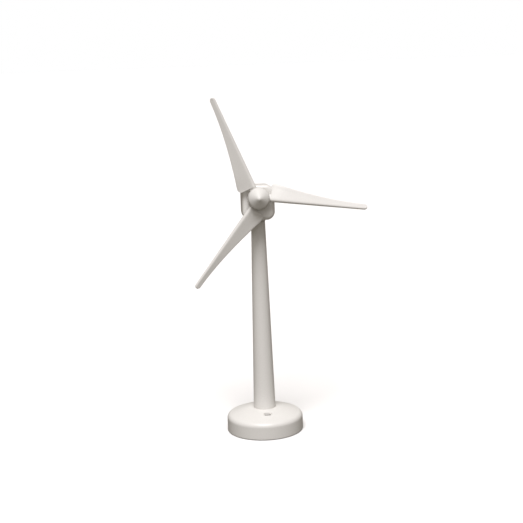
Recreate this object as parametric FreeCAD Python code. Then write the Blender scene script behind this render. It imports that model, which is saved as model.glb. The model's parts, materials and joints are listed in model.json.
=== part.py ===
"""A desktop model wind turbine: a round battery base, a tapered tower and a motor nacelle with a
three-bladed rotor.  Millimetres, +Z up, origin on the tower's axis at the level of the desk; the
rotor faces -Y.  Every separate piece is written to its own STEP file in parts/."""

import FreeCAD
import Part
import math
import os

Vector = FreeCAD.Vector
X, Y, Z = Vector(1, 0, 0), Vector(0, 1, 0), Vector(0, 0, 1)

# ---- overall sizes -------------------------------------------------------------------------
hub_height = 235.0          # centre of the hub above the desk
rotor_radius = 103.2        # blade tips
rotor_reach = 26.0          # hub centre ahead of the tower's axis, along the rotor's axis
rotor_lean = 5.0            # rotor axis tips up by this many degrees, which keeps blades off the tower
rest_angle = -7.1           # first blade, anticlockwise from +X as seen from the front
blade_count = 3

# ---- clearances ----------------------------------------------------------------------------
seat_gap = 0.15             # between moulded pieces that drop into each other
running_gap = 0.05          # between a shaft or spigot and the bore it turns in
thread_gap = 0.05           # between a screw's shank and its hole

# ---- base ----------------------------------------------------------------------------------
base_radius = 37.5
base_edge_radius = 5.0      # rounding between the side and the dome
dome_radius = 95.0
shell_wall = 2.0
foot_radius = 4.0
foot_proud = 0.8
foot_sunk = 0.3
foot_inset = 0.8            # from the plate's edge
foot_count = 4
middle_foot_radius = 5.0    # on the battery door
plate_recess = 0.4
plate_thickness = 2.0
base_screw_count = 4
base_screw_length = 8.5
boss_radius = 2.6

# ---- battery bay, for two AAA cells --------------------------------------------------------
cell_diameter = 10.5
cell_body_length = 43.5
cell_nub_radius = 1.9
cell_nub_length = 1.0
cell_gap = 0.35
spring_length = 5.9
spring_width = 6.0
spring_thickness = 0.3
contact_thickness = 0.4
contact_width = 9.0
tab_width = 3.0
bay_wall = 1.4
door_thickness = 1.5
door_ledge = 1.8

# ---- screws --------------------------------------------------------------------------------
screw_radius = 1.0
screw_head_radius = 2.0
screw_head_height = 1.2
small_screw_radius = 0.8
small_screw_head_radius = 1.6

# ---- tower ---------------------------------------------------------------------------------
tower_foot_radius = 10.8
tower_top_radius = 6.75
tower_wall = 1.8
flange_radius = 15.4
flange_thickness = 1.8
flange_boss_height = 3.75   # thickness of the base's top around the tower
flange_screw_count = 3
spigot_radius = 4.6
spigot_wall = 1.8
washer_thickness = 0.4
clip_thickness = 0.7
clip_depth = 0.7            # how far the clip sits in its groove
clip_play = 0.3

# ---- wires ---------------------------------------------------------------------------------
wire_radius = 0.6
wire_bend = 2.4
wire_spacing = 0.8          # of each lead from the tower's axis
sleeve_wall = 0.5

# ---- switch --------------------------------------------------------------------------------
switch_distance = 21.0      # from the tower's axis, along -Y
switch_offset = 1.8         # to the right of the middle
switch_travel = 2.0
switch_body = (8.6, 3.7, 3.6)
switch_plate = (19.0, 4.2, 0.4)
switch_screw_pitch = 15.0
switch_pad_depth = 0.8      # flat seat for the switch, below the dome's skin
switch_pocket = (9.0, 4.4, 0.7)
switch_slot = (6.2, 2.0)
knob_size = (4.4, 3.6, 1.5)
stem_size = (2.2, 1.4)
terminal_size = (0.9, 0.4, 2.2)

# ---- nacelle -------------------------------------------------------------------------------
nacelle_half_width = 15.5
nacelle_top = 12.3          # above the rotor's axis
nacelle_bottom = 21.2       # below it
nacelle_front = 19.0        # ahead of the tower's axis
nacelle_rear = 25.0
nacelle_corner = 8.0
nacelle_front_edge = 3.4
nacelle_rear_edge = 7.0
nacelle_wall = 1.8
tongue_height = 1.4
tongue_thickness = 0.8
neck_radius = 7.2
neck_drop = 1.6             # the neck's length below the nacelle
neck_rise = 1.0             # the bearing's length above the nacelle's floor
post_radius = 2.7
post_setback = 9.0          # of the housing screws from the nacelle's rear
screw_seat = 8.7            # their heads below the housing's split
screw_bite = 7.0            # their length above it
rib_thickness = 1.4

# ---- motor, a flat-sided toy motor ---------------------------------------------------------
motor_radius = 10.05
motor_half_height = 7.55
motor_can_length = 20.0
motor_bell_length = 5.0
motor_wall = 0.8
motor_boss_radius = 3.05
motor_boss_length = 1.7
motor_shaft_radius = 1.0
bush_radius = 2.2
bush_length = 2.2
magnet_thickness = 2.2
air_gap = 0.4
terminal_offset = 4.5       # motor terminals, each side of its axis
commutator_radius = 2.3
commutator_length = 3.0

# ---- rotor ---------------------------------------------------------------------------------
hub_radius = 10.2
hub_wall = 1.6
hub_back_thickness = 2.0
hub_back_reach = 5.8        # hub's back face behind the hub's centre
hub_front_reach = 4.2
hub_boss_radius = 3.0
nose_collar = 1.0           # straight part of the spinner before it rounds
nose_slope = 48.0           # degrees between the nose cone's side and its axis
nose_shoulder = 5.0         # rounding between the collar and the cone
nose_tip = 2.4              # rounding of the cone's point
blade_root_radius = 11.5    # where the blade's full width starts
blade_shoulder = 16.5       # where the blade is widest
blade_lead = 2.6            # leading edge from the blade's own centreline
blade_trail_root = 15.0     # trailing edge from it at the shoulder
blade_trail_tip = 2.7
blade_taper_power = 1.8
blade_root_nose = 2.3       # radius of the leading edge, at the root and at the tip
blade_tip_nose = 1.35
blade_heel = 0.5            # radius of the trailing edge
blade_root_pitch = 15.0
blade_tip_pitch = 5.0
blade_tip_round = 2.9
blade_corner = 2.6          # rounding of the root's trailing corner
neck_lead = 2.6
neck_trail = 4.8
neck_heel = 1.2
neck_thickness = 5.0        # of the blade's foot, inside the hub
root_foot_lip = 1.0

# ---- worked out: heights, from the desk up --------------------------------------------------
rim_z = foot_proud
plate_bottom = rim_z + plate_recess
plate_top = plate_bottom + plate_thickness
plate_radius = base_radius - shell_wall - seat_gap
door_top = plate_bottom + door_thickness
cell_radius = cell_diameter / 2
cell_z = plate_top + cell_radius
bay_ceiling = cell_z + cell_radius + cell_gap
bay_top = bay_ceiling + bay_wall
lead_z = bay_top + wire_radius + 0.1
flange_bottom = bay_top + 1.8
flange_top = flange_bottom + flange_thickness
dome_at_tower = flange_top + flange_boss_height
edge_centre_radius = base_radius - base_edge_radius
dome_centre_z = dome_at_tower - math.sqrt(dome_radius ** 2 - tower_foot_radius ** 2)
side_z = dome_centre_z + math.sqrt((dome_radius - base_edge_radius) ** 2 - edge_centre_radius ** 2)

# ---- worked out: battery bay ----------------------------------------------------------------
cell_length = cell_body_length + cell_nub_length
cell_y = cell_radius + cell_gap
bay_half_length = (cell_length + spring_length) / 2 + contact_thickness
bay_half_width = cell_y + cell_radius + cell_gap
door_half_length = bay_half_length + door_ledge
door_half_width = bay_half_width + door_ledge - seat_gap
base_screw_tip = plate_bottom + screw_head_height + base_screw_length
foot_ring_radius = plate_radius - foot_inset - foot_radius
boss_ring_radius = plate_radius - boss_radius - 0.6

# ---- worked out: nacelle and tower's top ----------------------------------------------------
axis_z = hub_height - rotor_reach * math.sin(math.radians(rotor_lean))
lean_cos = math.cos(math.radians(rotor_lean))
nacelle_floor = axis_z - (nacelle_bottom - nacelle_wall) / lean_cos
neck_bottom = axis_z - nacelle_bottom / lean_cos - neck_drop
neck_top = nacelle_floor + neck_rise
tower_top = neck_bottom - washer_thickness
clip_bottom = neck_top + clip_play
spigot_top = clip_bottom + clip_thickness + 1.6
spigot_bore = spigot_radius - spigot_wall
motor_front = nacelle_front - nacelle_wall - seat_gap
bell_back = motor_front - motor_can_length - motor_bell_length
rib_places = (motor_front - 2.0, motor_front - 8.0, bell_back + 1.4)

# ---- worked out: switch, screws, wires and armature -----------------------------------------
pad_bottom = -shell_wall - switch_pad_depth
plate_low = pad_bottom - switch_plate[2]
body_low = plate_low - switch_body[2]
flange_screw_ring = (tower_foot_radius + flange_radius) / 2 + 0.1
corridor_y = -(bay_half_width + bay_wall + wire_radius + 1.6)    # between the bay and the switch
magnet_bore = motor_radius - motor_wall - 0.05 - magnet_thickness
armature_radius = min(magnet_bore, motor_half_height - motor_wall) - air_gap


# ---- helpers --------------------------------------------------------------------------------
def cylinder(radius, low, high, x=0.0, y=0.0):
    """An upright cylinder between two heights."""
    return Part.makeCylinder(radius, high - low, Vector(x, y, low), Z)


def box(x, y, z):
    """A box from three (low, high) pairs."""
    return Part.makeBox(x[1] - x[0], y[1] - y[0], z[1] - z[0], Vector(x[0], y[0], z[0]))


def centred(size_x, size_y, low, high, x=0.0, y=0.0):
    return box((x - size_x / 2, x + size_x / 2), (y - size_y / 2, y + size_y / 2), (low, high))


def turned(profile):
    """Solid of revolution about Z from edges in the XZ plane."""
    return Part.Face(Part.Wire(profile)).revolve(Vector(), Z, 360)


def polygon(points):
    return Part.makePolygon(points + points[:1])


def ring(outer, inner, low, high):
    return cylinder(outer, low, high).cut(cylinder(inner, low - 1, high + 1))


def around(count, radius, start=0.0):
    """Places spaced evenly on a circle."""
    angles = [math.radians(start + 360.0 * k / count) for k in range(count)]
    return [(radius * math.cos(a), radius * math.sin(a)) for a in angles]


def joined(shapes):
    return shapes[0].multiFuse(shapes[1:]).removeSplitter() if len(shapes) > 1 else shapes[0]


def edges_along(shape, direction, test=lambda centre: True):
    """Straight edges parallel to a direction whose middle passes the test."""
    found = []
    for edge in shape.Edges:
        if edge.Curve.TypeId == "Part::GeomLine":
            if abs(abs(edge.tangentAt(edge.FirstParameter).dot(direction)) - 1) < 1e-6:
                if test(edge.CenterOfMass):
                    found.append(edge)
    return found


def on_axis(shape):
    """From upright, z being the distance ahead of the tower's axis, to along the rotor's axis."""
    placed = shape.copy()
    placed.rotate(Vector(), X, 90)
    placed.translate(Vector(0, 0, axis_z))
    return lean(placed)


def lean(shape):
    """Tips a piece of the nacelle or rotor up about the point where its axis crosses the tower's."""
    placed = shape.copy()
    placed.rotate(Vector(0, 0, axis_z), X, -rotor_lean)
    return placed


def screw(radius, head_radius, head_height, length):
    """Pan-head screw pointing up, the underside of its head at the origin."""
    body = cylinder(radius, 0, length - radius).fuse(
        Part.makeCone(radius, radius * 0.3, radius, Vector(0, 0, length - radius), Z))
    head = cylinder(head_radius, -head_height, 0)
    rim = [e for e in head.Edges if abs(e.CenterOfMass.z + head_height) < 1e-6]
    head = head.makeFillet(head_height * 0.4, rim)
    slot = head_radius * 0.28
    cross = centred(head_radius * 1.2, slot, -head_height - 1, -head_height * 0.45)
    cross = cross.fuse(centred(slot, head_radius * 1.2, -head_height - 1, -head_height * 0.45))
    return joined([body, head]).cut(cross)


def placed_at(shape, x, y, z):
    moved = shape.copy()
    moved.translate(Vector(x, y, z))
    return moved


def wire(points, bend=wire_bend):
    """A round lead through points: straight runs joined by tangent arcs."""
    edges, start = [], points[0]
    for before, corner, after in zip(points, points[1:], points[2:]):
        back = (before - corner).normalize()
        ahead = (after - corner).normalize()
        half = back.getAngle(ahead) / 2
        room = 0.45 * min((before - corner).Length, (after - corner).Length)
        radius = min(bend, room * math.tan(half))
        reach = radius / math.tan(half)
        first, last = corner + back * reach, corner + ahead * reach
        inward = (back + ahead).normalize()
        middle = corner + inward * (radius / math.sin(half) - radius)
        edges += [Part.makeLine(start, first), Part.Arc(first, middle, last).toShape()]
        start = last
    edges.append(Part.makeLine(start, points[-1]))
    circle = Part.Wire(Part.makeCircle(wire_radius, points[0], (points[1] - points[0]).normalize()))
    return Part.Wire(edges).makePipeShell([circle], True, False)


# ---- base -----------------------------------------------------------------------------------
def dome_solid(inset, low):
    """The base's outer form, taken in by inset, from a height upwards."""
    radius = base_radius - inset
    edge_radius, big_radius = base_edge_radius - inset, dome_radius - inset
    slope = math.atan2(edge_centre_radius, side_z - dome_centre_z)
    centre = Vector(edge_centre_radius, 0, side_z)

    def on_edge(angle):
        return centre + Vector(math.sin(angle), 0, math.cos(angle)) * edge_radius

    def on_dome(angle):
        return Vector(math.sin(angle), 0, math.cos(angle)) * big_radius + Vector(0, 0, dome_centre_z)

    apex = on_dome(0)
    return turned([
        Part.makeLine(Vector(0, 0, low), Vector(radius, 0, low)),
        Part.makeLine(Vector(radius, 0, low), on_edge(math.pi / 2)),
        Part.Arc(on_edge(math.pi / 2), on_edge((math.pi / 2 + slope) / 2), on_edge(slope)).toShape(),
        Part.Arc(on_edge(slope), on_dome(slope / 2), apex).toShape(),
        Part.makeLine(apex, Vector(0, 0, low)),
    ])


def switch_frame(shape):
    """From the switch's own frame, its face at the origin, to its place on the dome."""
    slope = math.asin(switch_distance / dome_radius)
    placed = shape.copy()
    placed.rotate(Vector(), X, math.degrees(slope))
    height = dome_centre_z + dome_radius * math.cos(slope)
    placed.translate(Vector(switch_offset, -switch_distance, height))
    return placed


def base_shell():
    outer = dome_solid(0, rim_z)
    shell = outer.cut(dome_solid(shell_wall, rim_z - 1))
    seat = cylinder(flange_radius + 1.2, flange_top, dome_at_tower + 5)
    posts = [cylinder(boss_radius, plate_top, dome_at_tower, x, y)
             for x, y in around(base_screw_count, boss_ring_radius)]
    pad = switch_frame(centred(switch_plate[0] + 2, switch_plate[1] + 2, pad_bottom, 0))
    solid = joined([shell, seat.common(outer), pad.common(outer)] + [p.common(outer) for p in posts])
    cuts = [cylinder(tower_foot_radius + seat_gap, 0, dome_at_tower + 9)]
    for x, y in around(base_screw_count, boss_ring_radius):
        cuts.append(cylinder(screw_radius + thread_gap, plate_top - 1, base_screw_tip + 0.4, x, y))
    for x, y in around(flange_screw_count, flange_screw_ring, 90):
        cuts.append(cylinder(small_screw_radius + thread_gap, flange_top - 1, flange_top + 2.6, x, y))
    pocket = centred(switch_pocket[0], switch_pocket[1], -switch_pocket[2], 3)
    pocket = pocket.makeFillet(0.9, edges_along(pocket, Z))
    slot = centred(switch_slot[0], switch_slot[1], pad_bottom - 1, 0)
    cuts += [switch_frame(pocket), switch_frame(slot)]
    for side in (-1, 1):
        hole = cylinder(small_screw_radius + thread_gap, pad_bottom - 1, pad_bottom + 1.6,
                        side * switch_screw_pitch / 2)
        cuts.append(switch_frame(hole))
    for cut in cuts:
        solid = solid.cut(cut)
    return solid


def base_plate():
    disc = cylinder(plate_radius, plate_bottom, plate_top)
    bay = centred(2 * (bay_half_length + bay_wall), 2 * (bay_half_width + bay_wall), plate_bottom, bay_top)
    bay = bay.makeFillet(1.0, edges_along(bay, Z))
    hollow = centred(2 * bay_half_length, 2 * bay_half_width, plate_bottom - 1, bay_ceiling)
    recess = centred(2 * door_half_length, 2 * (door_half_width + seat_gap), plate_bottom - 1, door_top)
    recess = recess.makeFillet(2.0, edges_along(recess, Z))
    plate = joined([disc, bay]).cut(hollow).cut(recess)
    slot_x = bay_half_length - contact_thickness / 2
    for side in (-1, 1):
        plate = plate.cut(centred(contact_thickness + 0.2, tab_width + 0.4, bay_ceiling - 1, bay_top + 1,
                                  slot_x, side * cell_y))
    for x, y in around(foot_count, foot_ring_radius, 45):
        pocket = cylinder(foot_radius + seat_gap, plate_bottom - 1, plate_bottom + foot_sunk, x, y)
        plate = plate.cut(pocket)
    for x, y in around(base_screw_count, boss_ring_radius):
        plate = plate.cut(cylinder(screw_radius + seat_gap, 0, plate_top + 1, x, y))
        plate = plate.cut(cylinder(screw_head_radius + seat_gap, 0, plate_bottom + screw_head_height, x, y))
    return plate


def rubber_feet():
    foot = cylinder(foot_radius, 0, plate_bottom + foot_sunk)
    foot = foot.makeFillet(0.35, [e for e in foot.Edges if e.CenterOfMass.z < 1e-6])
    places = around(foot_count, foot_ring_radius, 45)
    return Part.makeCompound([placed_at(foot, x, y, 0) for x, y in places])


def middle_foot():
    """The rubber foot on the battery door, level with the other four."""
    foot = cylinder(middle_foot_radius, 0, plate_bottom + foot_sunk)
    return foot.makeFillet(0.35, [e for e in foot.Edges if e.CenterOfMass.z < 1e-6])


def base_screws():
    one = screw(screw_radius, screw_head_radius, screw_head_height, base_screw_length)
    height = plate_bottom + screw_head_height
    places = around(base_screw_count, boss_ring_radius)
    return Part.makeCompound([placed_at(one, x, y, height) for x, y in places])


def battery_door():
    door = centred(2 * door_half_length - 2 * seat_gap, 2 * door_half_width, plate_bottom, door_top)
    door = door.makeFillet(2.0 - seat_gap, edges_along(door, Z))
    lug_y = bay_half_width - seat_gap - 0.5
    lugs = [centred(8, 1.0, door_top - 0.5, door_top + 1.6, side_x * bay_half_length / 2, side_y * lug_y)
            for side_x in (-1, 1) for side_y in (-1, 1)]
    door = joined([door] + lugs)
    door = door.cut(cylinder(middle_foot_radius + seat_gap, plate_bottom - 1, plate_bottom + foot_sunk))
    for k in range(4):
        groove = centred(1.0, 10, plate_bottom - 1, plate_bottom + 0.5, door_half_length - 5 - 2.2 * k)
        door = door.cut(groove)
    return door


def battery_cell(side):
    """A cell at y = side * cell_y, its positive end against the contact and pointing to -side."""
    direction = Vector(-side, 0, 0)
    reach = bay_half_length - contact_thickness
    start = Vector(-side * reach, side * cell_y, cell_z) - direction * cell_length
    body = Part.makeCylinder(cell_radius, cell_body_length, start, direction)
    body = body.makeFillet(0.5, [e for e in body.Edges if e.Curve.TypeId == "Part::GeomCircle"])
    nub_start = start + direction * cell_body_length
    nub = Part.makeCylinder(cell_nub_radius, cell_nub_length, nub_start, direction)
    return joined([body, nub])


def contact_plate(side_x, centre_y, width, tab):
    outer = side_x * bay_half_length
    inner = side_x * (bay_half_length - contact_thickness)
    x = (min(outer, inner), max(outer, inner))
    plate = box(x, (centre_y - width / 2, centre_y + width / 2), (plate_top + 0.8, bay_ceiling - 0.5))
    if tab:
        across = (centre_y - tab_width / 2, centre_y + tab_width / 2)
        plate = joined([plate, box(x, across, (cell_z, lead_z + 0.6))])
    return plate


def battery_spring(side):
    """Bowed leaf between a cell's negative end and its contact, at x of the same sign as side."""
    low, high = cell_z - 4.0, cell_z + 4.0
    crest = cell_z + 0.8
    reach = spring_length - 0.05
    inside = reach - spring_thickness
    heel = 0.05 + spring_thickness * 1.2
    outline = [(0.05, low), (0.05, low + 1.6), (inside, crest - 0.8), (inside, crest + 0.8),
               (2.0, high), (2.0 + 2 * spring_thickness, high + 0.1),
               (reach, crest + 1.0), (reach, crest - 1.0), (heel, low + 1.4), (heel, low)]
    leaf = Part.Face(polygon([Vector(x, 0, z) for x, z in outline])).extrude(Vector(0, spring_width, 0))
    leaf.translate(Vector(-bay_half_length + contact_thickness, -spring_width / 2, 0))
    if side > 0:
        leaf.rotate(Vector(), Z, 180)
    leaf.translate(Vector(0, side * cell_y, 0))
    return leaf


# ---- switch ---------------------------------------------------------------------------------
def switch_housing():
    body = centred(switch_body[0], switch_body[1], body_low, plate_low)
    ears = centred(switch_plate[0], switch_plate[1], plate_low, pad_bottom)
    ears = ears.makeFillet(1.2, edges_along(ears, Z))
    solid = joined([body, ears])
    solid = solid.cut(centred(switch_slot[0], switch_slot[1], plate_low - 1.4, pad_bottom + 1))
    for side in (-1, 1):
        solid = solid.cut(cylinder(small_screw_radius + seat_gap, plate_low - 1, pad_bottom + 1,
                                   side * switch_screw_pitch / 2))
    return switch_frame(solid)


def switch_terminals():
    pins = [centred(terminal_size[0], terminal_size[1], body_low - terminal_size[2], body_low, x)
            for x in (-2.5, 0.0, 2.5)]
    return switch_frame(Part.makeCompound(pins))


def switch_screws():
    one = screw(small_screw_radius, small_screw_head_radius, 1.0, 1.9)
    return switch_frame(Part.makeCompound(
        [placed_at(one, side * switch_screw_pitch / 2, 0, plate_low) for side in (-1, 1)]))


def switch_knob():
    """The slider's cap and stem, at the off end of its travel."""
    x = -switch_travel / 2
    bottom = -switch_pocket[2] + 0.15
    cap = centred(knob_size[0], knob_size[1], bottom, bottom + knob_size[2], x)
    cap = cap.makeFillet(0.5, edges_along(cap, Z))
    top = [e for e in cap.Edges if abs(e.CenterOfMass.z - bottom - knob_size[2]) < 1e-6]
    cap = cap.makeChamfer(0.25, top)
    groove_bottom = bottom + knob_size[2] - 0.35
    for k in (-1, 0, 1):
        cap = cap.cut(centred(0.45, knob_size[1] + 1, groove_bottom, bottom + 9, x + k * 1.1))
    stem = centred(stem_size[0], stem_size[1], plate_low - 1.2, bottom + 0.2, x)
    return switch_frame(joined([cap, stem]))


# ---- tower ----------------------------------------------------------------------------------
def tower_radius(z):
    share = max(0.0, (z - dome_at_tower) / (tower_top - dome_at_tower))
    return tower_foot_radius + (tower_top_radius - tower_foot_radius) * share


def tower():
    inner_foot = tower_foot_radius - tower_wall
    inner_top = tower_top_radius - tower_wall
    cap_bottom = tower_top - 2.4
    clip_groove = spigot_radius - clip_depth
    groove_top = clip_bottom + clip_thickness + 0.1
    section = [
        (inner_foot, flange_bottom), (flange_radius, flange_bottom), (flange_radius, flange_top),
        (tower_foot_radius, flange_top), (tower_foot_radius, dome_at_tower), (tower_top_radius, tower_top),
        (spigot_radius, tower_top), (spigot_radius, clip_bottom), (clip_groove, clip_bottom),
        (clip_groove, groove_top), (spigot_radius, groove_top),
        (spigot_radius, spigot_top), (spigot_bore, spigot_top), (spigot_bore, cap_bottom),
        (inner_top, cap_bottom), (inner_foot, dome_at_tower),
    ]
    solid = Part.Face(polygon([Vector(r, 0, z) for r, z in section])).revolve(Vector(), Z, 360)
    shoulder = [e for e in solid.Edges if abs(e.CenterOfMass.z - tower_top) < 1e-6
                and abs(e.BoundBox.XMax - tower_top_radius) < 1e-3 and e.Curve.TypeId == "Part::GeomCircle"]
    solid = solid.makeFillet(0.5, shoulder)
    for x, y in around(flange_screw_count, flange_screw_ring, 90):
        solid = solid.cut(cylinder(small_screw_radius + seat_gap, flange_bottom - 1, flange_top + 1, x, y))
    return solid


def tower_screws():
    one = screw(small_screw_radius, small_screw_head_radius, 1.1, flange_thickness + 2.3)
    return Part.makeCompound([placed_at(one, x, y, flange_bottom)
                              for x, y in around(flange_screw_count, flange_screw_ring, 90)])


def yaw_washer():
    return ring(tower_top_radius - 0.6, spigot_radius + 0.2, tower_top, neck_bottom)


def spigot_clip():
    """Open retaining clip in the spigot's groove, above the nacelle's floor."""
    low = clip_bottom + 0.05
    clip = ring(spigot_radius + 1.5, spigot_radius - clip_depth + 0.05, low, low + clip_thickness)
    gap = box((-1.6, 1.6), (0, spigot_radius + 3), (clip_bottom - 1, clip_bottom + 3))
    return clip.cut(gap)


# ---- wires ----------------------------------------------------------------------------------
def terminal_tip(x):
    """Where a lead meets a switch terminal, and the next point straight below it."""
    probe = switch_frame(Part.makeCompound([Part.Vertex(Vector(x, 0, body_low - terminal_size[2])),
                                            Part.Vertex(Vector(x, 0, body_low - terminal_size[2] - 3.4))]))
    return probe.Vertexes[0].Point, probe.Vertexes[1].Point




def lead_switch_to_tower():
    start, below = terminal_tip(0.0)
    return wire([start, below, Vector(0.5, corridor_y, below.z), Vector(-wire_spacing, corridor_y, lead_z),
                 Vector(-wire_spacing, 0, lead_z), Vector(-wire_spacing, 0, spigot_top)])


def lead_battery_to_switch():
    """From the positive contact's tab, round the bay's corner, to the switch's end terminal."""
    start, below = terminal_tip(2.5)
    tab_x = bay_half_length - contact_thickness - 0.05
    return wire([Vector(tab_x, -cell_y, lead_z), Vector(tab_x - 5, -cell_y, lead_z),
                 Vector(tab_x - 8, corridor_y, lead_z), Vector(tab_x - 14, corridor_y, below.z),
                 Vector(below.x + 0.3, corridor_y - 0.2, below.z - 0.6), below, start])


def lead_battery_to_tower():
    tab_x = bay_half_length - contact_thickness - 0.05
    return wire([Vector(tab_x, cell_y, lead_z), Vector(tab_x - 6, cell_y, lead_z),
                 Vector(wire_spacing, 0, lead_z), Vector(wire_spacing, 0, spigot_top)])


def lead_sleeve():
    """Shrink sleeve that holds the two leads together in the tower's spigot."""
    inner = wire_spacing + wire_radius + 0.05
    return ring(inner + sleeve_wall, inner, tower_top - 8, spigot_top - 0.2)


def motor_lead(side):
    """From the top of the spigot to a terminal on the motor's end bell."""
    rise = spigot_top + 0.15
    tail = lean(Part.Vertex(Vector(side * 4.5, -bell_back + 3.2, axis_z))).Point
    near = lean(Part.Vertex(Vector(side * 4.5, -bell_back + 3.2, axis_z - 3))).Point
    low = lean(Part.Vertex(Vector(side * 4.5, -bell_back + 3.2, axis_z - motor_half_height - 1.2))).Point
    return wire([Vector(side * wire_spacing, 0, rise), Vector(side * wire_spacing, 0, rise + 2.0),
                 Vector(side * 2.6, 5.0, rise + 1.6), Vector(low.x, low.y, rise + 1.2), near, tail], 1.6)


# ---- nacelle --------------------------------------------------------------------------------
def nacelle_form(inset):
    """The nacelle's rounded form, taken in by inset, before it leans."""
    form = box((-nacelle_half_width + inset, nacelle_half_width - inset),
               (-nacelle_front + inset, nacelle_rear - inset),
               (axis_z - nacelle_bottom + inset, axis_z + nacelle_top - inset))
    form = form.makeFillet(nacelle_corner - inset, edges_along(form, Y))
    rear = [e for e in form.Edges if abs(e.CenterOfMass.y - nacelle_rear + inset) < 1e-6]
    form = form.makeFillet(nacelle_rear_edge - inset, rear)
    front = [e for e in form.Edges if abs(e.CenterOfMass.y + nacelle_front - inset) < 1e-6]
    return form.makeFillet(nacelle_front_edge - inset, front)


def motor_profile(gap, front, back):
    """The motor's flat-sided section between two distances ahead of the tower's axis."""
    body = Part.makeCylinder(motor_radius + gap, front - back, Vector(0, -front, axis_z), Y)
    half = motor_half_height + gap
    return body.common(box((-99, 99), (-front, -back), (axis_z - half, axis_z + half)))


def ribs(low, high):
    """Cross ribs that hold the motor, between two heights from the rotor's axis."""
    cavity = nacelle_form(nacelle_wall - 0.2)
    window = box((-6.5, 6.5), (-99, 99), (axis_z - 99, axis_z - motor_half_height + 1))
    made = []
    for place in rib_places:
        slab = box((-99, 99), (-place, -place + rib_thickness), (axis_z + low, axis_z + high))
        made.append(slab.common(cavity).cut(motor_profile(0.1, motor_front + 1, bell_back - 9)).cut(window))
    return made


def post_places():
    x = nacelle_half_width - nacelle_wall - post_radius + 0.4
    return [(-x, nacelle_rear - post_setback), (x, nacelle_rear - post_setback)]


def nacelle_lower():
    below = box((-99, 99), (-99, 99), (axis_z - 99, axis_z))
    form = nacelle_form(0)
    shell = form.cut(nacelle_form(nacelle_wall)).common(below)
    lip = nacelle_form(nacelle_wall - 0.2).cut(nacelle_form(nacelle_wall + tongue_thickness))
    root = lip.common(box((-99, 99), (-99, 99), (axis_z - 1.6, axis_z)))
    tongue = nacelle_form(nacelle_wall + seat_gap).cut(nacelle_form(nacelle_wall + tongue_thickness))
    tongue = tongue.common(box((-99, 99), (-99, 99), (axis_z - 0.5, axis_z + tongue_height)))
    posts = [cylinder(post_radius, axis_z - nacelle_bottom, axis_z, x, y).common(form)
             for x, y in post_places()]
    solid = joined([shell, root, tongue] + posts + ribs(-99, -3.0))
    solid = lean(solid.cut(motor_profile(0.1, motor_front + 0.1, bell_back - 2)))
    collar = cylinder(neck_radius, neck_bottom, neck_top)
    solid = joined([solid, collar])
    solid = solid.cut(cylinder(spigot_radius + running_gap, neck_bottom - 2, neck_top + 0.5))
    solid = solid.cut(cylinder(spigot_radius + 2.2, neck_top, clip_bottom + clip_thickness + 2.2))
    for x, y in post_places():
        shank = cylinder(screw_radius + seat_gap, axis_z - 99, axis_z + 9, x, y)
        sink = cylinder(screw_head_radius + seat_gap, axis_z - 99, axis_z - screw_seat, x, y)
        solid = solid.cut(lean(shank)).cut(lean(sink))
    return solid.cut(lean(shaft_opening()))


def shaft_opening():
    return Part.makeCylinder(motor_boss_radius + seat_gap, 12, Vector(0, -nacelle_front - 3, axis_z), Y)


def nacelle_upper():
    above = box((-99, 99), (-99, 99), (axis_z, axis_z + 99))
    form = nacelle_form(0)
    shell = form.cut(nacelle_form(nacelle_wall)).common(above)
    posts = [cylinder(post_radius, axis_z + tongue_height + 0.3, axis_z + nacelle_top, x, y).common(form)
             for x, y in post_places()]
    solid = joined([shell] + posts + ribs(tongue_height + 2.4, 99))
    for x, y in post_places():
        solid = solid.cut(cylinder(screw_radius + thread_gap, axis_z - 1, axis_z + nacelle_top - 3, x, y))
    return lean(solid.cut(motor_profile(0.1, motor_front + 0.1, bell_back - 2))).cut(lean(shaft_opening()))


def nacelle_screws():
    one = screw(screw_radius, screw_head_radius, screw_head_height, screw_seat + screw_bite)
    return lean(Part.makeCompound([placed_at(one, x, y, axis_z - screw_seat) for x, y in post_places()]))


# ---- motor ----------------------------------------------------------------------------------
def motor_can():
    back = motor_front - motor_can_length
    outer = motor_profile(0, motor_front, back)
    hollow = motor_profile(-motor_wall, motor_front - motor_wall, back - 1)
    boss = Part.makeCylinder(motor_boss_radius, motor_boss_length + motor_wall,
                             Vector(0, -motor_front - motor_boss_length, axis_z), Y)
    bore = Part.makeCylinder(bush_radius, 6, Vector(0, -motor_front - motor_boss_length - 1, axis_z), Y)
    return lean(joined([outer.cut(hollow), boss]).cut(bore))


def motor_bell():
    """Plastic end bell, with windows for the terminals."""
    front = motor_front - motor_can_length
    cap = motor_profile(-0.05, front, bell_back)
    plug = motor_profile(-motor_wall - 0.1, front + 1.5, front)
    hollow = motor_profile(-motor_wall - 1.2, front + 9, bell_back + 1.5)
    solid = joined([cap, plug]).cut(hollow)
    bore = Part.makeCylinder(bush_radius, 9, Vector(0, -bell_back - 3, axis_z), Y)
    solid = solid.cut(bore)
    for side in (-1, 1):
        x = (side * terminal_offset - 1.2, side * terminal_offset + 1.2)
        solid = solid.cut(box(x, (-bell_back - 3, -bell_back + 1), (axis_z - 0.4, axis_z + 0.4)))
    return lean(solid)


def motor_bushes():
    """Sintered bushes: one in the can's nose, one in the end bell."""
    def bush(place):
        outer = Part.makeCylinder(bush_radius - 0.02, bush_length, Vector(0, -place, axis_z), Y)
        bore_start = Vector(0, -place - 1, axis_z)
        return outer.cut(Part.makeCylinder(motor_shaft_radius + 0.03, bush_length + 2, bore_start, Y))

    front = bush(motor_front + motor_boss_length)
    rear = bush(bell_back + bush_length)
    return lean(Part.makeCompound([front, rear]))


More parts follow.
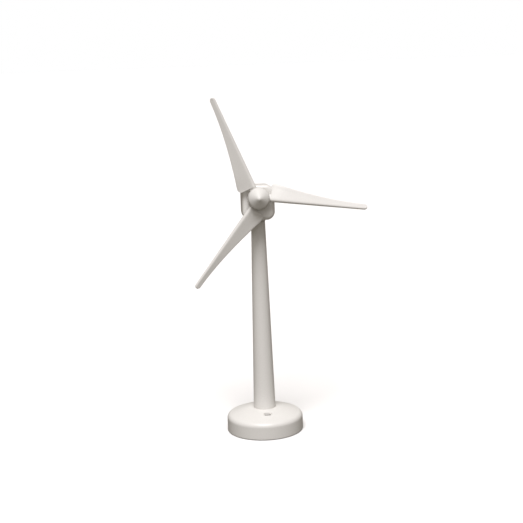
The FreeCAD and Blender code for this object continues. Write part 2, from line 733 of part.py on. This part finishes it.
def motor_magnets():
    outer = motor_radius - motor_wall - 0.05
    inner = outer - magnet_thickness
    front, back = motor_front - 3.5, motor_front - motor_can_length + 3.0
    tube = Part.makeCylinder(outer, front - back, Vector(0, -front, axis_z), Y)
    tube = tube.cut(Part.makeCylinder(inner, front - back, Vector(0, -front, axis_z), Y))
    flat = min(motor_half_height - motor_wall - 1.4, 0.85 * inner)
    tube = tube.common(box((-99, 99), (-99, 99), (axis_z - flat, axis_z + flat)))
    return lean(Part.makeCompound(tube.Solids))


def motor_armature():
    """Three-pole laminated core."""
    radius = armature_radius
    front, back = motor_front - 4.5, motor_front - motor_can_length + 5.5
    core = Part.makeCylinder(radius, front - back, Vector(0, -front, axis_z), Y)
    bore = Part.makeCylinder(motor_shaft_radius + 0.02, front - back, Vector(0, -front, axis_z), Y)
    core = core.cut(bore)
    for k in range(3):
        slot = box((-0.6, 0.6), (-front, -back), (axis_z + 3.0, axis_z + radius + 1))
        pocket = box((-1.7, 1.7), (-front, -back), (axis_z + 2.4, axis_z + radius - 1.1))
        for cut in (slot, pocket):
            cut.rotate(Vector(0, 0, axis_z), Y, 60 + 120 * k)
            core = core.cut(cut)
    return lean(core)


def motor_windings():
    """Copper wound in the three slots, standing out at both ends of the core."""
    radius = armature_radius
    front, back = motor_front - 3.6, motor_front - motor_can_length + 4.6
    coils = []
    for k in range(3):
        coil = box((-1.6, 1.6), (-front, -back), (axis_z + 2.5, axis_z + radius - 1.2))
        coil = coil.makeFillet(0.6, edges_along(coil, X))
        coil.rotate(Vector(0, 0, axis_z), Y, 60 + 120 * k)
        coils.append(coil)
    return lean(Part.makeCompound(coils))


def motor_commutator():
    back = motor_front - motor_can_length - 0.5
    start = Vector(0, -back - commutator_length, axis_z)
    drum = Part.makeCylinder(commutator_radius, commutator_length, start, Y)
    drum = drum.cut(Part.makeCylinder(motor_shaft_radius + 0.02, 9, start - Y * 3, Y))
    rim = axis_z + commutator_radius
    for k in range(3):
        gap = box((-0.15, 0.15), (-99, 99), (rim - 0.5, rim + 1))
        gap.rotate(Vector(0, 0, axis_z), Y, 120 * k)
        drum = drum.cut(gap)
    return lean(drum)


def motor_brushes():
    """Two spring-metal brushes, one each side of the commutator, that end in the solder terminals."""
    y = -(motor_front - motor_can_length - 0.5 + 0.9)
    made = []
    for side in (-1, 1):
        inner, outer = side * (commutator_radius + 0.05), side * (commutator_radius + 0.35)
        leaf_x = (min(inner, outer), max(inner, outer))
        leaf = box(leaf_x, (y - 1.4, -bell_back - 1.6), (axis_z - 1.0, axis_z + 1.0))
        foot_x = (min(inner, side * 5.4), max(inner, side * 5.4))
        foot = box(foot_x, (-bell_back - 1.9, -bell_back - 1.6), (axis_z - 1.0, axis_z + 1.0))
        tab_x = (side * terminal_offset - 1.0, side * terminal_offset + 1.0)
        tab = box(tab_x, (-bell_back - 1.7, -bell_back + 2.4), (axis_z - 0.2, axis_z + 0.2))
        made.append(joined([leaf, foot, tab]))
    return lean(Part.makeCompound(made))


def motor_shaft():
    front = rotor_reach + hub_front_reach - 1.4
    back = bell_back - 0.6
    return lean(Part.makeCylinder(motor_shaft_radius, front - back, Vector(0, -front, axis_z), Y))


# ---- rotor ----------------------------------------------------------------------------------
def spun(shape, angle):
    """Turns a rotor piece that points up to an angle anticlockwise from +X, seen from the front."""
    placed = shape.copy()
    placed.rotate(Vector(0, 0, axis_z), Y, 90 - angle)
    return placed


def hub():
    back, front = rotor_reach - hub_back_reach, rotor_reach + hub_front_reach
    hollow = cylinder(hub_radius - hub_wall, back + hub_back_thickness, front + 1)
    cup = cylinder(hub_radius, back, front).cut(hollow)
    rim = [e for e in cup.Edges if abs(e.CenterOfMass.z - back) < 1e-6]
    cup = cup.makeFillet(0.8, rim)
    solid = joined([cup, cylinder(hub_boss_radius, back, front - 1.0)])
    solid = solid.cut(cylinder(motor_shaft_radius + 0.02, back - 1, front + 1))
    solid.rotate(Vector(), X, 90)
    solid.translate(Vector(0, 0, axis_z))
    for k in range(blade_count):
        notch = box((-neck_trail - seat_gap, neck_lead + seat_gap),
                    (-front - 1, -rotor_reach + neck_thickness / 2 + seat_gap),
                    (axis_z + hub_boss_radius + 1.0, axis_z + hub_radius + 5))
        solid = solid.cut(spun(notch, rest_angle + 360.0 * k / blade_count))
    return lean(solid)


def nose_form(inset, low):
    """The spinner's outer form, taken in by inset: a short collar, a rounded shoulder and a blunt cone."""
    slope = math.radians(nose_slope)
    across, along = math.cos(slope), math.sin(slope)
    base = rotor_reach + hub_front_reach + nose_collar
    shoulder, tip = nose_shoulder - inset, nose_tip
    centre = hub_radius - nose_shoulder
    side_length = (centre + nose_shoulder * across - tip * across) / along
    tip_height = base + nose_shoulder * along + side_length * across - tip * along
    tip -= inset
    foot, collar = Vector(hub_radius - inset, 0, low), Vector(hub_radius - inset, 0, base)
    cone_start = Vector(centre + shoulder * across, 0, base + shoulder * along)
    cone_end = Vector(tip * across, 0, tip_height + tip * along)
    middle, half = slope / 2, (slope + math.pi / 2) / 2
    on_shoulder = Vector(centre + shoulder * math.cos(middle), 0, base + shoulder * math.sin(middle))
    on_tip = Vector(tip * math.cos(half), 0, tip_height + tip * math.sin(half))
    point = Vector(0, 0, tip_height + tip)
    return turned([
        Part.makeLine(Vector(0, 0, low), foot), Part.makeLine(foot, collar),
        Part.Arc(collar, on_shoulder, cone_start).toShape(),
        Part.makeLine(cone_start, cone_end),
        Part.Arc(cone_end, on_tip, point).toShape(),
        Part.makeLine(point, Vector(0, 0, low))])


def spinner():
    """Domed nose cap with a short ring that plugs into the hub."""
    front = rotor_reach + hub_front_reach
    plug_outer = hub_radius - hub_wall - seat_gap
    plug_inner = plug_outer - 1.0
    shell = nose_form(0, front).cut(nose_form(hub_wall, front - 1))
    shoulder = ring(hub_radius - hub_wall + 0.2, plug_inner, front, front + nose_collar)
    plug = ring(plug_outer, plug_inner, rotor_reach + neck_thickness / 2 + 0.3, front + nose_collar)
    return on_axis(joined([shell, shoulder, plug]))


def arc_points(centre, radius, start, end, steps):
    angles = [start + (end - start) * k / steps for k in range(steps + 1)]
    return [Vector(centre + radius * math.cos(a), radius * math.sin(a), 0) for a in angles]


def blade_section(radius, lead, trail, nose, heel, pitch):
    """Closed section: a round nose at +X, flat sides and a thin round heel, in two halves."""
    nose_centre, heel_centre = lead - nose, heel - trail
    turn = math.acos((heel - nose) / (nose_centre - heel_centre))
    front = arc_points(nose_centre, nose, -turn, turn, 8)
    back = arc_points(heel_centre, heel, turn, 2 * math.pi - turn, 4)

    def between(start, end):
        return [start + (end - start) * share for share in (0.2, 0.5, 0.8)]

    points = front[4:] + between(front[-1], back[0]) + back + between(back[-1], front[0]) + front[:4]
    curve = Part.BSplineCurve()
    curve.interpolate(points, PeriodicFlag=True)
    at_heel = curve.parameter(back[2])
    upper = curve.toShape(curve.FirstParameter, at_heel)
    lower = curve.toShape(at_heel, curve.LastParameter)
    section = Part.Wire([upper, lower])
    section.rotate(Vector(), Z, -pitch)
    section.translate(Vector(0, -rotor_reach, axis_z + radius))
    return section


def blade_places():
    """Distances from the hub's centre at which the blade's sections stand."""
    span = rotor_radius - blade_tip_round - blade_shoulder
    shares = (0.0, 0.08, 0.18, 0.3, 0.43, 0.56, 0.68, 0.79, 0.88, 0.95, 0.985, 1.0)
    body = [blade_shoulder + span * share for share in shares]
    tip = [rotor_radius - blade_tip_round * (1 - math.sin(math.radians(a))) for a in (25, 48, 66, 79)]
    return [blade_root_radius] + body + tip


def blade_form(radius):
    """Leading and trailing offsets, nose and heel radii and pitch of the section at a radius."""
    share = min(1.0, max(0.0, (radius - blade_shoulder) / (rotor_radius - blade_shoulder)))
    trail = blade_trail_tip + (blade_trail_root - blade_trail_tip) * (1 - share) ** blade_taper_power
    nose = blade_root_nose + (blade_tip_nose - blade_root_nose) * share
    pitch = blade_root_pitch + (blade_tip_pitch - blade_root_pitch) * share ** 0.6
    into_tip = max(0.0, radius - (rotor_radius - blade_tip_round)) / blade_tip_round
    closing = math.sqrt(max(0.0, 1 - into_tip ** 2))
    lead, trail = blade_lead * closing, trail * closing
    chord = lead + trail
    return lead, trail, min(nose, 0.42 * chord), min(blade_heel, 0.3 * chord), pitch


def root_corner():
    """What is cut away to round the root's trailing corner."""
    edge = -blade_trail_root * math.cos(math.radians(blade_root_pitch))
    low = axis_z + blade_root_radius
    corner = box((edge - 1, edge + blade_corner), (-rotor_reach - 9, -rotor_reach + 9),
                 (low - 1, low + blade_corner))
    centre = Vector(edge + blade_corner, -rotor_reach - 9, low + blade_corner)
    return corner.cut(Part.makeCylinder(blade_corner, 18, centre, Y))


def blade(angle):
    sections = [blade_section(radius, *blade_form(radius)) for radius in blade_places()]
    vane = Part.makeLoft(sections, True, False).cut(root_corner())
    half = neck_thickness / 2
    foot_low = hub_boss_radius + 1.2
    foot_high = hub_radius - hub_wall - seat_gap
    neck_form = (neck_lead - 0.1, neck_trail, blade_root_nose - 0.12, neck_heel, blade_root_pitch)
    ends = (foot_low + 0.8, blade_root_radius + 2.6)
    neck = Part.makeLoft([blade_section(radius, *neck_form) for radius in ends], True, True)
    foot = box((-neck_trail - root_foot_lip, neck_lead + root_foot_lip),
               (-rotor_reach - half, -rotor_reach + half),
               (axis_z + foot_low, axis_z + foot_low + 1.6))
    reach = math.sqrt(foot_high ** 2 - (neck_trail + root_foot_lip) ** 2)
    keep = box((-99, 99), (-99, 99), (axis_z + foot_low, axis_z + max(reach, foot_low + 1.0)))
    return lean(spun(joined([vane, neck, foot.common(keep)]), angle))


# ---- write every piece ----------------------------------------------------------------------
def nodes():
    half = contact_width / 2
    made = {
        "base_shell": base_shell(),
        "base_plate": base_plate(),
        "base_screws": base_screws(),
        "rubber_feet": rubber_feet(),
        "battery_door": battery_door(),
        "middle_foot": middle_foot(),
        "battery_front": battery_cell(-1),
        "battery_rear": battery_cell(1),
        "battery_link_contact": contact_plate(-1, 0, 2 * (cell_y + half), False),
        "battery_positive_contact": contact_plate(1, -cell_y, contact_width, True),
        "battery_negative_contact": contact_plate(1, cell_y, contact_width, True),
        "battery_spring_front": battery_spring(-1),
        "battery_spring_rear": battery_spring(1),
        "switch_housing": switch_housing(),
        "switch_terminals": switch_terminals(),
        "switch_screws": switch_screws(),
        "switch_knob": switch_knob(),
        "tower": tower(),
        "tower_screws": tower_screws(),
        "yaw_washer": yaw_washer(),
        "spigot_clip": spigot_clip(),
        "lead_switch_to_tower": lead_switch_to_tower(),
        "lead_battery_to_switch": lead_battery_to_switch(),
        "lead_battery_to_tower": lead_battery_to_tower(),
        "lead_sleeve": lead_sleeve(),
        "motor_lead_red": motor_lead(-1),
        "motor_lead_black": motor_lead(1),
        "nacelle_lower": nacelle_lower(),
        "nacelle_upper": nacelle_upper(),
        "nacelle_screws": nacelle_screws(),
        "motor_can": motor_can(),
        "motor_bell": motor_bell(),
        "motor_bushes": motor_bushes(),
        "motor_magnets": motor_magnets(),
        "motor_brushes": motor_brushes(),
        "motor_armature": motor_armature(),
        "motor_windings": motor_windings(),
        "motor_commutator": motor_commutator(),
        "motor_shaft": motor_shaft(),
        "hub": hub(),
        "spinner": spinner(),
    }
    for k in range(blade_count):
        made[f"blade_{k + 1}"] = blade(rest_angle + 360.0 * k / blade_count)
    return made


os.makedirs("parts", exist_ok=True)
for name, shape in nodes().items():
    if not shape.isValid() or shape.Volume <= 0:
        print("not valid:", name, shape.Volume)
    print(name, len(shape.Solids), round(shape.Volume, 1))
    shape.exportStep(f"parts/{name}.step")
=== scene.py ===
"""Looks for the desktop model wind turbine: materials, floor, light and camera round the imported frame."""
import json
import math

import bmesh
import bpy
from mathutils import Matrix, Vector

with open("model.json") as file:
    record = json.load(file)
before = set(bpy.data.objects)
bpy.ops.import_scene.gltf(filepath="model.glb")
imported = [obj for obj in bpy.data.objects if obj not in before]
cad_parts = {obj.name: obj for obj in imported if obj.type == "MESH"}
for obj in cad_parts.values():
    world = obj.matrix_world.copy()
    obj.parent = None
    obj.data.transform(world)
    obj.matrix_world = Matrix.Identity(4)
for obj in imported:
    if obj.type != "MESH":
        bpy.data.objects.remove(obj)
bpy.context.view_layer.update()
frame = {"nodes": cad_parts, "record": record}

NODES = frame["nodes"]
CELL_REACH = 0.026              # either side of the middle, along which a cell's colours run
FLOOR_HALF_WIDTH = 40.0


# ---- node helpers ---------------------------------------------------------------------------
class Graph:
    """A material and short calls that add nodes to it."""

    def __init__(self, name):
        self.material = bpy.data.materials.new(name)
        self.material.use_nodes = True
        self.tree = self.material.node_tree
        self.shader = self.tree.nodes["Principled BSDF"]
        self.coords = self.add("ShaderNodeTexCoord").outputs["Object"]

    def add(self, kind, **settings):
        node = self.tree.nodes.new(kind)
        for key, value in settings.items():
            setattr(node, key, value)
        return node

    def put(self, socket, value):
        """A link if value is another node's output, otherwise a plain number or colour."""
        if isinstance(value, bpy.types.NodeSocket):
            self.tree.links.new(value, socket)
        else:
            socket.default_value = value

    def noise(self, scale, detail=3.0, rough=0.5, stretch=None, distortion=0.0):
        node = self.add("ShaderNodeTexNoise")
        node.inputs["Scale"].default_value = scale
        node.inputs["Detail"].default_value = detail
        node.inputs["Roughness"].default_value = rough
        node.inputs["Distortion"].default_value = distortion
        source = self.coords
        if stretch:
            mapping = self.add("ShaderNodeMapping")
            mapping.inputs["Scale"].default_value = stretch
            self.put(mapping.inputs["Vector"], self.coords)
            source = mapping.outputs["Vector"]
        self.put(node.inputs["Vector"], source)
        return node.outputs["Fac"]

    def ramp(self, value, *stops):
        """stops are (position, grey or (r, g, b)); the result is a colour."""
        node = self.add("ShaderNodeValToRGB")
        self.put(node.inputs["Fac"], value)
        elements = node.color_ramp.elements
        while len(elements) < len(stops):
            elements.new(0.5)
        for element, (place, tone) in zip(elements, stops):
            element.position = place
            element.color = (*tone, 1.0) if isinstance(tone, tuple) else (tone, tone, tone, 1.0)
        return node.outputs["Color"]

    def spread(self, value, low, high, start=0.3, end=0.7):
        node = self.add("ShaderNodeMapRange")
        for name, number in (("From Min", start), ("From Max", end), ("To Min", low), ("To Max", high)):
            node.inputs[name].default_value = number
        self.put(node.inputs["Value"], value)
        return node.outputs["Result"]

    def mix(self, factor, first, second, blend="MIX"):
        node = self.add("ShaderNodeMix", data_type="RGBA", blend_type=blend)
        self.put(node.inputs["Factor"], factor)
        self.put(node.inputs[6], first)
        self.put(node.inputs[7], second)
        return node.outputs[2]

    def math(self, operation, first, second=0.0):
        node = self.add("ShaderNodeMath", operation=operation)
        self.put(node.inputs[0], first)
        self.put(node.inputs[1], second)
        return node.outputs[0]

    def bump(self, height, strength, distance, under=None):
        node = self.add("ShaderNodeBump")
        node.inputs["Strength"].default_value = strength
        node.inputs["Distance"].default_value = distance
        self.put(node.inputs["Height"], height)
        if under is not None:
            self.put(node.inputs["Normal"], under)
        return node.outputs["Normal"]

    def edges(self, radius):
        """About 1 on convex and concave edges, 0 on open faces."""
        bevel = self.add("ShaderNodeBevel", samples=6)
        bevel.inputs["Radius"].default_value = radius
        plain = self.add("ShaderNodeNewGeometry").outputs["Normal"]
        dot = self.add("ShaderNodeVectorMath", operation="DOT_PRODUCT")
        self.put(dot.inputs[0], bevel.outputs["Normal"])
        self.put(dot.inputs[1], plain)
        return self.spread(dot.outputs["Value"], 1.0, 0.0, 0.80, 0.995)

    def painted_corner_shade(self, distance):
        """Painted shade mask from ambient occlusion: about 1 deep in corners, where shade falls, 0 in the
        open.
        """
        shade = self.add("ShaderNodeAmbientOcclusion", samples=8)
        shade.inputs["Distance"].default_value = distance
        return self.spread(shade.outputs["AO"], 1.0, 0.0, 0.25, 0.85)

    def set(self, **values):
        for key, value in values.items():
            self.put(self.shader.inputs[key.replace("_", " ")], value)
        return self.material


def moulded(name, tone, speck_and_painted_shade_tone, rough, texture=0.12):
    """Moulded plastic: faint flow marks, a fine skin texture, rubbed edges and painted shade darkening the
    corners.
    """
    g = Graph(name)
    flow = g.noise(18.0, 4.0, 0.55, stretch=(1.0, 1.0, 0.35), distortion=0.6)
    speck = g.noise(900.0, 2.0, 0.6)
    colour = g.mix(g.spread(flow, 0.0, 1.0), tone, tuple(c * 0.965 for c in tone[:3]) + (1.0,))
    colour = g.mix(g.spread(speck, 0.0, 0.10), colour, speck_and_painted_shade_tone)
    # Painted shade: corners and creases darkened towards the shade tone by ambient occlusion.
    colour = g.mix(g.math("MULTIPLY", g.painted_corner_shade(0.004), 0.38), colour, speck_and_painted_shade_tone)
    worn = g.math("MULTIPLY", g.edges(0.0006), g.spread(g.noise(260.0, 3.0), 0.05, 0.5))
    colour = g.mix(worn, colour, tuple(min(1.0, c * 1.06) for c in tone[:3]) + (1.0,))
    handled = g.noise(55.0, 5.0, 0.6)
    roughness = g.math("ADD", g.spread(handled, rough - 0.05, rough + 0.07), g.math("MULTIPLY", worn, 0.12))
    skin = g.bump(g.noise(2600.0, 2.0, 0.5), texture, 0.00006)
    normal = g.bump(g.noise(60.0, 2.0, 0.4), 0.10, 0.0004, skin)
    return g.set(Base_Color=colour, Roughness=roughness, Normal=normal, IOR=1.50)


def metal(name, tone, dark, rough, stretch=(1.0, 1.0, 12.0), bands=0.0):
    """Plated or drawn metal: fine drawn lines, smears of dull oxide, brighter edges and painted shade in the
    corners.
    """
    g = Graph(name)
    lines = g.noise(1500.0, 3.0, 0.6, stretch=stretch)
    smear = g.noise(140.0, 5.0, 0.6)
    colour = g.mix(g.spread(smear, 0.0, 0.8), tone, dark)
    worn = g.math("MULTIPLY", g.edges(0.00025), 0.6)
    colour = g.mix(worn, colour, tuple(min(1.0, c * 1.15) for c in tone[:3]) + (1.0,))
    # Painted shade: corners darkened towards the dark tone by ambient occlusion.
    colour = g.mix(g.math("MULTIPLY", g.painted_corner_shade(0.0015), 0.5), colour, dark)
    roughness = g.math("ADD", g.spread(smear, rough - 0.08, rough + 0.12), g.math("MULTIPLY", lines, 0.08))
    normal = g.bump(lines, 0.15, 0.00004)
    g.set(Base_Color=colour, Roughness=roughness, Normal=normal, Metallic=1.0)
    if bands:
        wave = g.add("ShaderNodeTexWave", wave_type="BANDS", bands_direction="Y")
        wave.inputs["Scale"].default_value = bands
        wave.inputs["Distortion"].default_value = 0.6
        g.put(wave.inputs["Vector"], g.coords)
        g.set(Normal=g.bump(wave.outputs["Fac"], 0.8, 0.00012, normal))
    return g.material


def rubber(name):
    """Black rubber: a coarse grain, a little dust and paler rubbed edges."""
    g = Graph(name)
    grain = g.noise(1800.0, 3.0, 0.6)
    dust = g.spread(g.noise(220.0, 4.0), 0.0, 0.35)
    colour = g.mix(dust, (0.018, 0.018, 0.019, 1.0), (0.09, 0.085, 0.08, 1.0))
    colour = g.mix(g.math("MULTIPLY", g.edges(0.0004), 0.4), colour, (0.12, 0.115, 0.11, 1.0))
    return g.set(Base_Color=colour, Roughness=g.spread(grain, 0.62, 0.85), Normal=g.bump(grain, 0.5, 0.0001))


def sleeve(name):
    """Battery sleeve: dark in the middle and copper-coloured at both ends, under a lacquered film."""
    g = Graph(name)
    split = g.add("ShaderNodeSeparateXYZ")
    g.put(split.inputs[0], g.coords)
    along = g.spread(split.outputs["X"], 0.0, 1.0, -CELL_REACH, CELL_REACH)
    copper, dark = (0.30, 0.17, 0.06), (0.02, 0.035, 0.06)
    bands = g.ramp(along, (0.0, copper), (0.27, copper), (0.28, dark), (0.72, dark), (0.73, copper))
    rub = g.spread(g.noise(300.0, 5.0), 0.0, 0.25)
    colour = g.mix(rub, bands, (0.22, 0.22, 0.23, 1.0))
    colour = g.mix(g.math("MULTIPLY", g.edges(0.0005), 0.7), colour, (0.6, 0.6, 0.58, 1.0))
    film = g.bump(g.noise(500.0, 2.0), 0.15, 0.00008)
    roughness = g.spread(g.noise(90.0), 0.22, 0.38)
    return g.set(Base_Color=colour, Roughness=roughness, Metallic=0.2, Coat_Weight=0.4, Normal=film)


def insulation(name, tone, dark):
    """Coloured lead insulation, or sintered magnet: scuffed, with a fine grain."""
    g = Graph(name)
    scuff = g.noise(400.0, 4.0, 0.6)
    colour = g.mix(g.spread(scuff, 0.0, 0.6), tone, dark)
    grain = g.bump(g.noise(1600.0, 2.0), 0.2, 0.00005)
    return g.set(Base_Color=colour, Roughness=g.spread(scuff, 0.35, 0.55), Normal=grain)


MATERIALS = {
    "white_shell": moulded("white_shell", (0.80, 0.79, 0.765, 1.0), (0.50, 0.46, 0.39, 1.0), 0.36),
    "white_lid": moulded("white_lid", (0.77, 0.76, 0.735, 1.0), (0.48, 0.44, 0.37, 1.0), 0.52, 0.35),
    "white_knob": moulded("white_knob", (0.60, 0.59, 0.57, 1.0), (0.30, 0.28, 0.25, 1.0), 0.48, 0.25),
    "foot_rubber": rubber("foot_rubber"),
    "screw_steel": metal("screw_steel", (0.56, 0.56, 0.54, 1.0), (0.26, 0.26, 0.25, 1.0), 0.32),
    "spring_steel": metal("spring_steel", (0.66, 0.66, 0.63, 1.0), (0.36, 0.36, 0.34, 1.0), 0.26),
    "cell_sleeve": sleeve("cell_sleeve"),
    "black_plastic": moulded("black_plastic", (0.022, 0.022, 0.023, 1.0), (0.05, 0.05, 0.05, 1.0), 0.45, 0.3),
    "terminal_brass": metal("terminal_brass", (0.72, 0.56, 0.28, 1.0), (0.40, 0.29, 0.14, 1.0), 0.30),
    "washer_nylon": moulded("washer_nylon", (0.74, 0.73, 0.67, 1.0), (0.45, 0.42, 0.35, 1.0), 0.42),
    "red_lead": insulation("red_lead", (0.42, 0.02, 0.015, 1.0), (0.22, 0.012, 0.01, 1.0)),
    "black_lead": insulation("black_lead", (0.02, 0.02, 0.021, 1.0), (0.05, 0.05, 0.05, 1.0)),
    "motor_steel": metal("motor_steel", (0.58, 0.58, 0.56, 1.0), (0.34, 0.34, 0.33, 1.0), 0.30),
    "bell_plastic": moulded("bell_plastic", (0.74, 0.73, 0.68, 1.0), (0.45, 0.42, 0.36, 1.0), 0.46, 0.3),
    "bush_bronze": metal("bush_bronze", (0.56, 0.36, 0.18, 1.0), (0.28, 0.17, 0.08, 1.0), 0.45),
    "magnet_grey": insulation("magnet_grey", (0.05, 0.05, 0.052, 1.0), (0.10, 0.10, 0.10, 1.0)),
    "winding_copper": metal("winding_copper", (0.62, 0.24, 0.10, 1.0), (0.34, 0.11, 0.045, 1.0), 0.30,
                            bands=900.0),
}

for entry in frame["record"]["subparts"]:
    node = NODES[entry["node"]]
    node.data.materials.clear()
    node.data.materials.append(MATERIALS[entry["material_slot"]])


# ---- floor ----------------------------------------------------------------------------------
def floor_sheet(half_width):
    """A wide, flat sheet of pale paper. It is white where it is seen, and throws back a dimmer light."""
    grid = bmesh.new()
    corners = [(-1, -1), (1, -1), (1, 1), (-1, 1)]
    grid.faces.new([grid.verts.new((x * half_width, y * half_width, 0.0)) for x, y in corners])
    mesh = bpy.data.meshes.new("floor")
    grid.to_mesh(mesh)
    grid.free()
    floor = bpy.data.objects.new("floor", mesh)
    bpy.context.scene.collection.objects.link(floor)
    g = Graph("floor_paper")
    fibre = g.noise(6.0, 4.0)
    paper = g.mix(g.spread(fibre, 0.0, 0.5), (0.95, 0.95, 0.95, 1.0), (0.935, 0.935, 0.93, 1.0))
    seen = g.add("ShaderNodeLightPath").outputs["Is Camera Ray"]
    colour = g.mix(seen, (0.13, 0.12, 0.10, 1.0), paper)
    g.set(Base_Color=colour, Roughness=g.spread(fibre, 0.8, 0.9), Specular_IOR_Level=0.0)
    mesh.materials.append(g.material)


floor_sheet(FLOOR_HALF_WIDTH)


# ---- light ----------------------------------------------------------------------------------
def soft_sun(name, azimuth, elevation, softness, strength, tone, glossy=True):
    """Light from far off. Azimuth 0 comes from -Y, the object's front, and -90 from its left.

    A lamp that isn't glossy lights surfaces but leaves no highlight on them.
    """
    data = bpy.data.lights.new(name, "SUN")
    data.angle = math.radians(softness)
    data.energy = strength
    data.color = tone
    lamp = bpy.data.objects.new(name, data)
    bpy.context.scene.collection.objects.link(lamp)
    a, e = math.radians(azimuth), math.radians(elevation)
    towards = Vector((math.sin(a) * math.cos(e), -math.cos(a) * math.cos(e), math.sin(e)))
    lamp.rotation_mode = "QUATERNION"
    lamp.rotation_quaternion = towards.to_track_quat("Z", "Y")
    lamp.visible_glossy = glossy


soft_sun("overhead", -10.0, 60.0, 34.0, 2.95, (0.985, 0.970, 0.99))
soft_sun("front", -4.0, 20.0, 30.0, 0.36, (1.0, 0.97, 0.98))
soft_sun("rear", 172.0, 14.0, 50.0, 1.0, (1.0, 0.985, 0.97), glossy=False)


def studio_world():
    """White where it is seen, dim and slightly warm as a light."""
    world = bpy.data.worlds.new("studio")
    world.use_nodes = True
    tree = world.node_tree
    room = tree.nodes["Background"]
    room.inputs["Color"].default_value = (1.0, 0.92, 0.80, 1.0)
    room.inputs["Strength"].default_value = 0.27
    paper = tree.nodes.new("ShaderNodeBackground")
    paper.inputs["Color"].default_value = (1.0, 1.0, 1.0, 1.0)
    paper.inputs["Strength"].default_value = 1.0
    pick = tree.nodes.new("ShaderNodeMixShader")
    path = tree.nodes.new("ShaderNodeLightPath")
    tree.links.new(path.outputs["Is Camera Ray"], pick.inputs[0])
    tree.links.new(room.outputs[0], pick.inputs[1])
    tree.links.new(paper.outputs[0], pick.inputs[2])
    tree.links.new(pick.outputs[0], tree.nodes["World Output"].inputs["Surface"])
    bpy.context.scene.world = world


studio_world()
bpy.context.scene.view_settings.view_transform = "Standard"


# ---- camera ---------------------------------------------------------------------------------
def camera(azimuth, elevation, roll, aim, distance, lens):
    """Azimuth 0 looks along +Y; roll turns the picture anticlockwise."""
    a, e, r = math.radians(azimuth), math.radians(elevation), math.radians(roll)
    back = Vector((math.sin(a) * math.cos(e), -math.cos(a) * math.cos(e), math.sin(e)))
    right = Vector((math.cos(a), math.sin(a), 0.0))
    up = back.cross(right)
    rolled_right = right * math.cos(r) - up * math.sin(r)
    rolled_up = right * math.sin(r) + up * math.cos(r)
    data = bpy.data.cameras.new("camera")
    data.lens = lens
    data.sensor_width = 36.0
    data.clip_start, data.clip_end = 0.02, 20.0
    body = bpy.data.objects.new("camera", data)
    bpy.context.scene.collection.objects.link(body)
    turn = Matrix((rolled_right, rolled_up, back)).transposed()
    body.matrix_world = Matrix.Translation(Vector(aim) + back * distance) @ turn.to_4x4()
    bpy.context.scene.camera = body


camera(azimuth=-3.0, elevation=10.9, roll=2.05, aim=(0.00195, 0.0, 0.1695), distance=1.1, lens=77.85)
